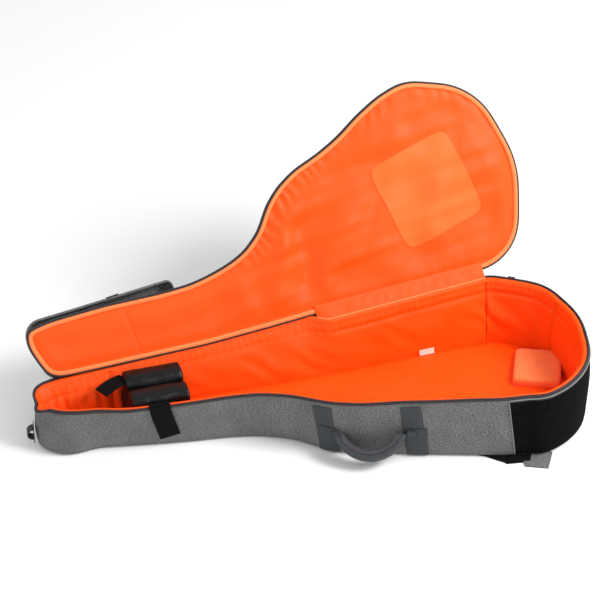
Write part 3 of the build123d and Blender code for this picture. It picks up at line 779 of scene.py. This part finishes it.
back_plan = disc(lid_loop, 12, [0, 6, 14, 24, 36], np.linspace(0.06, 1, 30))
back_flat = lifted(back_plan)
back_gap = edge_distance(back_plan, lid_loop)
back_height = 19.4 + 1.5 * smooth(12, 60, back_gap)
back_height += 0.9 * ripple(back_flat, 130, 41) * smooth(10, 50, back_gap)
back = lifted(back_plan, back_height)
edge_rows = lid_rings((5.0, 4.6), (1.4, 4.6), (0.2, 6.5), (-0.2, 10.0), (0.4, 13.6), (2.6, 16.8),
                      (6.5, 18.8))
grid("lid_cloth", np.concatenate([edge_rows, opened(back)]), "heather_cloth", "lid", wrap=True,
     replaces=("lid_shell", "lid_padding"))

# Cloth hinge: inside strip in lining cloth and outside strip in heather, from wall to lid.
hinge_x = np.linspace(HINGE_SPAN[0] - 26, HINGE_SPAN[1] + 6, 90)
hinge_flop = 1 - smooth(2, 62, hinge_x)
far_y = far_line(hinge_x)
rim_here = rim_height(hinge_x) + FLOP_UP * hinge_flop
flat_x = hinge_x / rim_x.x
out_n = np.array([-FAR_SLOPE, 1.0]) / math.hypot(FAR_SLOPE, 1)


def hinge_line(x, inset, height):
    """Points along the straight far side, moved inward."""
    plan = np.stack([x, far_y], 1) - np.broadcast_to(inset, x.shape)[:, None] * out_n
    return lifted(plan, height)


def hinge_strip(name, wall_inset, wall_drop, lid_inset, lid_height, bulge, material, **more):
    """Cloth from the top of the far wall to the lid's hinge edge, with a given belly."""
    wall_end = hinge_line(hinge_x, wall_inset - FLOP_OUT * hinge_flop, rim_here - wall_drop)
    lid_end = opened(hinge_line(flat_x, lid_inset, lid_height))
    middle = (wall_end + lid_end) / 2 + np.array(bulge)
    rows = []
    for t in np.linspace(0, 1, 12):
        rows.append(wall_end * (1 - t) ** 2 + middle * 2 * t * (1 - t) + lid_end * t * t)
    strip = np.array(rows)
    strip[3:9] += np.array([0, -1, 0.4]) * (0.8 * ripple(strip[3:9], 30, 51)[..., None])
    piece = grid(name, strip, material, None, **more)
    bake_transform(piece)


hinge_strip("hinge_lining", 8.0, 2.0, 21.0, 1.2, (0, -2.0, 0.5), "lining")
hinge_seam = hinge_line(hinge_x, 8.2 - FLOP_OUT * hinge_flop, rim_here - 1.0)
tube("hinge_seam_binding", hinge_seam, 1.7, "lining_binding", "tray")
hinge_strip("hinge_cloth", -0.8, 16.0, 1.5, 16.0, (0, 5.0, -2.0), "heather_cloth",
            replaces=("hinge_tape",))

def rounded_square(half_x, half_y, power):
    """Outline of a square with rounded corners."""
    c, s = np.cos(turns(160)), np.sin(turns(160))
    k = (np.abs(c) ** power + np.abs(s) ** power) ** (-1 / power)
    return np.stack([c * k * half_x, s * k * half_y], 1)


def placed(plan, centre, degrees):
    """Plan points turned and moved to a centre."""
    a = math.radians(degrees)
    turned = plan @ np.array([[math.cos(a), math.sin(a)], [-math.sin(a), math.cos(a)]])
    return turned + np.array(centre, float)


# Sewn patch inside the wide end of the lid.
PATCH_PLACE = ((352, 8), -4)
patch_edge = rounded_square(92, 96, 9.0)
patch_rows = []
for k in (1.0, 0.998, 0.985, 0.96, *np.linspace(0.93, 0, 30)):
    plan = placed(patch_edge * k, *PATCH_PLACE)
    rise = 0.0 if k == 1.0 else 1.1
    patch_rows.append(lifted(plan, lid_face_height(plan) + 0.2 - rise))
grid("lid_patch", opened(np.array(patch_rows)), "lining_patch", "lid", wrap=True, flip=True,
     replaces=("bridge_patch",))
patch_line = shut(placed(patch_edge * 0.972, *PATCH_PLACE))
patch_path = opened(lifted(patch_line, lid_face_height(patch_line) - 1.0))
stitches("lid_patch_stitches", patch_path, lid_down, "thread_orange", "lid", 3.4, 2.4, 0.5,
         slot="lining_patch")
neck_y = np.linspace(-43, 48, 40)
neck_line = np.stack([-323 - 0.05 * neck_y, neck_y], 1)
neck_path = opened(lifted(neck_line, lid_face_height(neck_line) - 0.3))
stitches("lid_neck_stitches", neck_path, lid_down, "thread_orange", "lid", 4.0, 2.6, 0.8,
         slot="lining")

# ------------------------------------------------------------------ headstock pocket
POCKET_CORNERS = [(-208, 84), (-208, -48), (-400, -75), (-528, -94), (-514, 34)]
POCKET_RADII = [12, 12, 500, 34, 30]
pocket_loop = rounded_loop(POCKET_CORNERS, POCKET_RADII, 260)
pocket_out = outward(pocket_loop)
pocket_mid = np.stack([np.clip(pocket_loop[:, 0], -500, -262),
                       np.interp(pocket_loop[:, 0], [-545, -208], [-20, 14])], 1)
pocket_rows = []
for inset, height in ((2, 18.2), (0.4, 19.5), (-0.8, 24), (-1.0, 29), (-0.4, 34), (2, 38.5), (6, 42),
                      (12, 44)):
    plan = pocket_loop - pocket_out * inset
    pocket_rows.append(lifted(plan, height))
base = pocket_rows[-1]
for f in np.linspace(0.1, 1, 14):
    plan = base[:, :2] + (pocket_mid - base[:, :2]) * f
    height = 44 + 2.5 * smooth(0, 0.6, f) + 1.2 * ripple(lifted(plan), 80, 61) * smooth(0, 0.5, f)
    pocket_rows.append(lifted(plan, height))
grid("pocket_cloth", opened(np.array(pocket_rows)), "heather_cloth", "lid", wrap=True,
     replaces=("headstock_pocket",))

# ------------------------------------------------------------------ carry handle
def band_surface(x_top, x_low, width, off, top_drop, low):
    """Strip of webbing sewn down the near wall."""
    rows = []
    for v in np.linspace(0, 1, 30):
        centre = x_top + (x_low - x_top) * v
        xs = np.linspace(centre - width / 2, centre + width / 2, 9)
        height = (rim_height(xs) - top_drop) * (1 - v) + low * v
        edge = 0.9 * (np.abs(np.linspace(-1, 1, 9)) ** 6)
        strip = on_wall(near_column(xs), height, off)
        strip[:, :2] -= edge[:, None] * np.array([0.2, -1.0])
        rows.append(strip)
    return np.array(rows)


BAND_FACING = (0.25, -0.97, 0.0)
for band_name, x_top, x_low, width, low_width in (("neck", 4, 20, 35, 37), ("bout", 173.5, 191, 41, 42)):
    band = band_surface(x_top, x_low, width, 2.2, 12.5, 2.0)
    grid(f"band_{band_name}_webbing", band, "grey_webbing", "tray",
         replaces=(f"handle_band_{band_name}",))
    lower = band_surface((x_top + x_low) / 2, x_low, low_width, 3.6, 0, 2.5)[14:]
    grid(f"band_{band_name}_lower_layer", lower, "grey_webbing", "tray")
    for side_name, column in (("left", 1), ("right", 7)):
        stitches(f"band_{band_name}_stitch_{side_name}", band[:, column] + [0, -0.7, 0], BAND_FACING,
                 "thread_grey", "tray", slot="grey_webbing")
    stitches(f"band_{band_name}_stitch_cross", band[15, 1:8] + [0, -1.9, 0], BAND_FACING,
             "thread_grey", "tray", 3.2, 2.2, slot="grey_webbing")

GRIP_LEFT = np.array([33.0, -131.0, 52.0])
GRIP_RIGHT = np.array([165.0, -168.0, 60.0])
GRIP_SAG = 52.0
grip_axis = unit(GRIP_RIGHT - GRIP_LEFT)
grip_out = unit(np.array([grip_axis[1], -grip_axis[0], 0.0]))
grip_up = np.cross(grip_axis, -grip_out)
droop = math.radians(42)
grip_z = grip_up * math.cos(droop) + grip_out * math.sin(droop)
grip_y = np.cross(grip_z, grip_axis)
grip_half = np.linalg.norm(GRIP_RIGHT - GRIP_LEFT) / 2 + 3.0
grip_centre = (GRIP_LEFT + GRIP_RIGHT) / 2 - grip_axis * 5.0 + [0, 0, 3.0]


def grip_surface(depth_out, depth_in, half_width, crown, trim=0.0):
    """Closed strap section swept round the hanging arc of the handle."""
    radius = (grip_half ** 2 + GRIP_SAG ** 2) / (2 * GRIP_SAG)
    reach = math.asin(grip_half / radius)
    rows = []
    for t in np.linspace(-1, 1, 70):
        angle = t * reach * (1 - trim)
        arc = np.array([radius * math.sin(angle), -(GRIP_SAG - radius) - radius * math.cos(angle)])
        normal = np.array([math.sin(angle), -math.cos(angle)])
        ends = smooth(0.80, 1.0, abs(t))
        half = half_width * (1 - 0.55 * ends)
        section = []
        for a in turns(28):
            across = half * squared(math.cos(a), 0.35)
            depth = (depth_out + depth_in) / 2
            depth += (depth_out - depth_in) / 2 * squared(math.sin(a), 0.55)
            if math.sin(a) < 0:
                depth -= crown * (1 - (across / half_width) ** 2) * (1 - ends)
            place = arc + normal * depth
            section.append(grip_centre + grip_axis * place[0] + grip_y * place[1] + grip_z * across)
        rows.append(section)
    return np.array(rows)


grid("grip_webbing", grip_surface(2.5, -8.0, 16.5, 0.0), "grey_webbing", "handle", wrap=True,
     replaces=("handle_grip",))
grid("grip_mesh_pad", grip_surface(-6.0, -17.0, 14.6, 3.0, trim=0.02), "spacer_mesh", "handle",
     wrap=True, replaces=("handle_grip_mesh",))


def strap_solid(name, centre_line, side, half_width, thick, material, body, **more):
    """Flat strap: a rounded rectangle section along a line; side points across the strap."""
    side = unit(np.array(side, float))
    up = unit(np.cross(unit(np.gradient(centre_line, axis=0)), side))
    ring = [centre_line + side * half_width * squared(math.cos(a), 0.25)
            + up * (thick / 2 * squared(math.sin(a), 0.6)) for a in turns(24)]
    grid(name, capped(np.array(ring).transpose(1, 0, 2)), material, body, wrap=True, **more)


# ------------------------------------------------------------------ neck cradle
cradle_turn = math.radians(9)
cradle_x = np.array([math.cos(cradle_turn), math.sin(cradle_turn), 0])
cradle_y = np.array([-math.sin(cradle_turn), math.cos(cradle_turn), 0])
CRADLE_AT = np.array([-312.0, 16.0, 0.0])
STRAP_X = -312.0             # the cradle's strap crosses the near wall here


def on_cradle(along, across, height):
    """Point of the cradle from distances along and across it."""
    return CRADLE_AT + cradle_x * along + cradle_y * across + UP * height


for roll_name, across_at, seed in (("near", -25, 71), ("far", 28, 72)):
    rows = []
    for t in np.linspace(-1, 1, 46):
        end = 1 - max(0.0, (abs(t) - 0.90) / 0.10) ** 2.2 * 0.55
        section = []
        for a in turns(56):
            wide = 27.0 * squared(math.cos(a), 0.78) * end
            tall = 23.0 * squared(math.sin(a), 0.78 if math.sin(a) > 0 else 0.6) * end
            crease = 0.9 * math.sin(a * 9 + seed) * smooth(0.55, 1.0, t)
            section.append(on_cradle(61.0 * t, across_at + wide * (1 + 0.02 * crease),
                                     (90 if across_at > 0 else 83) + tall + crease * 0.5))
        rows.append(section)
    rows = np.array(rows)
    rows += unit(rows - rows.mean(axis=1, keepdims=True)) * (1.0 * ripple(rows, 46, seed)[..., None])
    piece = grid(f"cradle_{roll_name}_roll", capped(rows), "cradle_vinyl", "tray",
                 wrap=True, replaces=(f"cradle_roll_{roll_name}",))

block_edge = rounded_square(62.0, 50.0, 12.0)
block_rows = []
for inset, height in ((6, 14.5), (1, 15.5), (0, 20), (-1.2, 34), (-1.4, 50), (-0.5, 62), (1.5, 68),
                      (5, 71)):
    ring = block_edge * (1 - inset / 60)
    block_rows.append([on_cradle(x, y, height) for x, y in ring])
block_rows.append([on_cradle(0, 0, 71)] * len(block_edge))
block_rows = np.array(block_rows)
sides = block_rows[1:-1]
sides += unit(sides - sides.mean(axis=1, keepdims=True)) * (
    0.9 * ripple(sides, 30, 74, (1.5, 1.5, 0.6))[..., None])
piece = grid("cradle_block", block_rows, "cradle_vinyl", "tray", wrap=True,
             replaces=("neck_cradle_base",))

tongue_turn = math.radians(38)
tongue_dir = np.array([-math.cos(tongue_turn), -math.sin(tongue_turn), 0])
tongue_side = np.array([-tongue_dir[1], tongue_dir[0], 0])
tongue_root = np.array([-374.0, 40.0, 98.0])
reach = np.linspace(-3, 62, 22)
tongue_rise = 2.5 + 4.0 * np.sin(reach / 62 * math.pi)
tongue_line = tongue_root + tongue_dir * reach[:, None] + UP * tongue_rise[:, None]
strap_solid("cradle_tongue_strap", tongue_line, tongue_side, 17.5, 1.8, "black_webbing",
            "cradle_tongue_far", replaces=("cradle_strap_far",))

rim_at = on_wall(near_column(STRAP_X), rim_height(STRAP_X), 0)
rim_at[2] = rim_height(STRAP_X)
root_line = np.array([
    on_cradle(2, -50, 74), on_cradle(2, -54, 84), on_cradle(1.5, -57, 93), on_cradle(1, -62, 100),
    rim_at + [0, 9, 2.9], rim_at + [0, 5, 3.6], rim_at + [0, 0.5, 3.4],
])
strap_solid("cradle_root_strap", spaced(root_line, 24), (1, 0.08, 0.06), 21, 1.8, "black_webbing",
            "tray", replaces=("cradle_strap_root",))
tail_rows = []
for v in np.linspace(0, 1, 26):
    centre = STRAP_X + 19.5 * v
    xs = np.linspace(centre - 21.0 + 1.0 * v, centre + 21.0 - 1.0 * v, 11)
    if v < 0.06:
        lip = on_wall(near_column(xs), rim_height(xs) - 3.2, 0.2)
        lip[:, 2] = rim_height(xs) + 3.2 - 30 * v
        lip[:, 1] -= 60 * v
        tail_rows.append(lip)
        continue
    slant = np.linspace(-1, 1, 11) * 5.0 * v
    height = rim_height(xs) - 2 - 78 * v + slant
    tail_rows.append(on_wall(near_column(xs), height, 3.4 + 1.2 * math.sin(v * 5)))
tail_rows = np.array(tail_rows)
tail_shell = np.concatenate([tail_rows, tail_rows[:, ::-1] + [0, 1.6, 0]], axis=1)
grid("cradle_tail_strap", tail_shell, "black_webbing", "cradle_tail_near", wrap=True,
     replaces=("cradle_strap_near",))

# ------------------------------------------------------------------ end pad, label
pad_edge = rounded_square(48.0, 53.0, 12.0)
pad_rows = []
for inset, height in ((2, 15.5), (0, 18), (-0.6, 24), (-0.6, 30), (0.6, 34.5), (3, 36.8), (8, 37.9),
                      (16, 38.6), (26, 38.9), (36, 39.0), (42, 39.0)):
    ring = pad_edge * (1 - inset / 42.0)
    plan = placed(ring, (477, 50), -15)
    plan[:, 0] = np.minimum(plan[:, 0], 541)
    pad_rows.append(lifted(plan, height + 0.8 * ripple(lifted(plan), 60, 81)))
piece = grid("end_pad_cushion", np.array(pad_rows), "lining_binding", "tray", wrap=True, slot="lining",
             replaces=("end_pad",))

label_columns = near_column(np.linspace(241, 270, 8), far=True)
label_rows = []
for height, off in ((16, 3.5), (19, 2.5), (23, 1.8), (28, 1.4)):
    ring = []
    for column in label_columns:
        low = int(column) % COLUMNS
        profile = lining_rows[::-1, low]
        ring.append(sampled(height, profile[:, 2], profile) - np.append(tray_out[low], 0) * off)
    label_rows.append(ring)
grid("care_label_ribbon", np.array(label_rows), "label_cloth", "tray", replaces=("care_label",))

# ------------------------------------------------------------------ CAD pieces that keep their shape
def node_points(node):
    """Vertices of a CAD node in place, in millimetres."""
    return np.array([node.matrix_world @ v.co for v in node.data.vertices]) / MM


KEPT = {
    "heather_plain": ("strap_tab_near", "strap_tab_far"),
    "strap_cloth": ("shoulder_strap_near", "shoulder_strap_far"),
    "black_plain": ("strap_webbing_near", "strap_webbing_far", "hang_loop_patch"),
    "grey_plain": ("handle_end_neck", "handle_end_bout", "hang_loop"),
    "zip_chain": ("pocket_zip",),
    "slider_metal": ("zip_slider_bout", "pocket_slider", "zip_pull_bout", "pocket_pull"),
}
for finish, names in KEPT.items():
    for name in names:
        node = frame["nodes"][name]
        node.data.materials.clear()
        node.data.materials.append(M[finish])

# Webbing that joins the near strap to its cloth tab.
tab_points = node_points(frame["nodes"]["strap_tab_near"])
web_points = node_points(frame["nodes"]["strap_webbing_near"])
web_end = web_points[np.argsort(web_points[:, 0])[-12:]].mean(axis=0)
tab_root = tab_points.mean(axis=0)
link_line = np.linspace(web_end - [8, -4, 0], web_end * 0.25 + tab_root * 0.75, 12)
strap_solid("strap_tab_link", link_line, (0.3, 1, 0), 15.0, 2.4, "black_webbing", "tray",
            slot="strap_cloth")

# The neck slider and its pull sit on the leaning edge of the far wall.
for name, body in (("zip_slider_neck", "slider_neck"), ("zip_pull_neck", "pull_neck")):
    node = frame["nodes"][name]
    node.data.calc_loop_triangles()
    corners = np.array([t.vertices[:] for t in node.data.loop_triangles])
    add_mesh(name + "_leaning", node_points(node) + [0, FLOP_OUT, FLOP_UP], corners, "slider_metal",
             body, replaces=(name,))

# ------------------------------------------------------------------ floor, light, camera
floor_mesh = bpy.data.meshes.new("studio_floor")
floor_mesh.from_pydata([(-9, -9, -0.0005), (9, -9, -0.0005), (9, 9, -0.0005), (-9, 9, -0.0005)], [],
                       [(0, 1, 2, 3)])
paper = Nodes("studio_paper")
paper.values(Base_Color=(0.97, 0.97, 0.97, 1), Roughness=0.9)
floor_mesh.materials.append(paper.mat)
in_scene("studio_floor", floor_mesh)

bpy.context.scene.view_settings.view_transform = "Standard"
world = bpy.data.worlds.new("studio_world")
bpy.context.scene.world = world
world.use_nodes = True
world.node_tree.nodes["Background"].inputs["Color"].default_value = (1, 1, 1, 1)
world.node_tree.nodes["Background"].inputs["Strength"].default_value = 0.70


def softbox(name, place, aim, size, power):
    """Large square light aimed at a point."""
    data = bpy.data.lights.new(name, "AREA")
    data.shape = "SQUARE"
    data.size = size
    data.energy = power
    lamp = in_scene(name, data)
    lamp.location = place
    lamp.rotation_euler = (Vector(aim) - Vector(place)).to_track_quat("-Z", "Y").to_euler()


softbox("key_softbox", (2.0, -0.7, 2.2), (0, 0.1, 0.1), 1.2, 84)
softbox("fill_softbox", (-2.2, -2.0, 1.8), (0, 0.1, 0.2), 2.2, 14)

CAMERA_AZ = math.radians(-7.99)
CAMERA_EL = math.radians(36.85)
CAMERA_FAR = 5.522
target = Vector((0.00288, 0.18683, 0.150))
away = Vector((math.sin(CAMERA_AZ) * math.cos(CAMERA_EL), -math.cos(CAMERA_AZ) * math.cos(CAMERA_EL),
               math.sin(CAMERA_EL)))
camera_data = bpy.data.cameras.new("camera")
camera_data.lens = 161.66
camera_data.sensor_width = 36
camera = in_scene("camera", camera_data)
camera.location = target + away * CAMERA_FAR
camera.rotation_euler = (-away).to_track_quat("-Z", "Y").to_euler()
bpy.context.scene.camera = camera
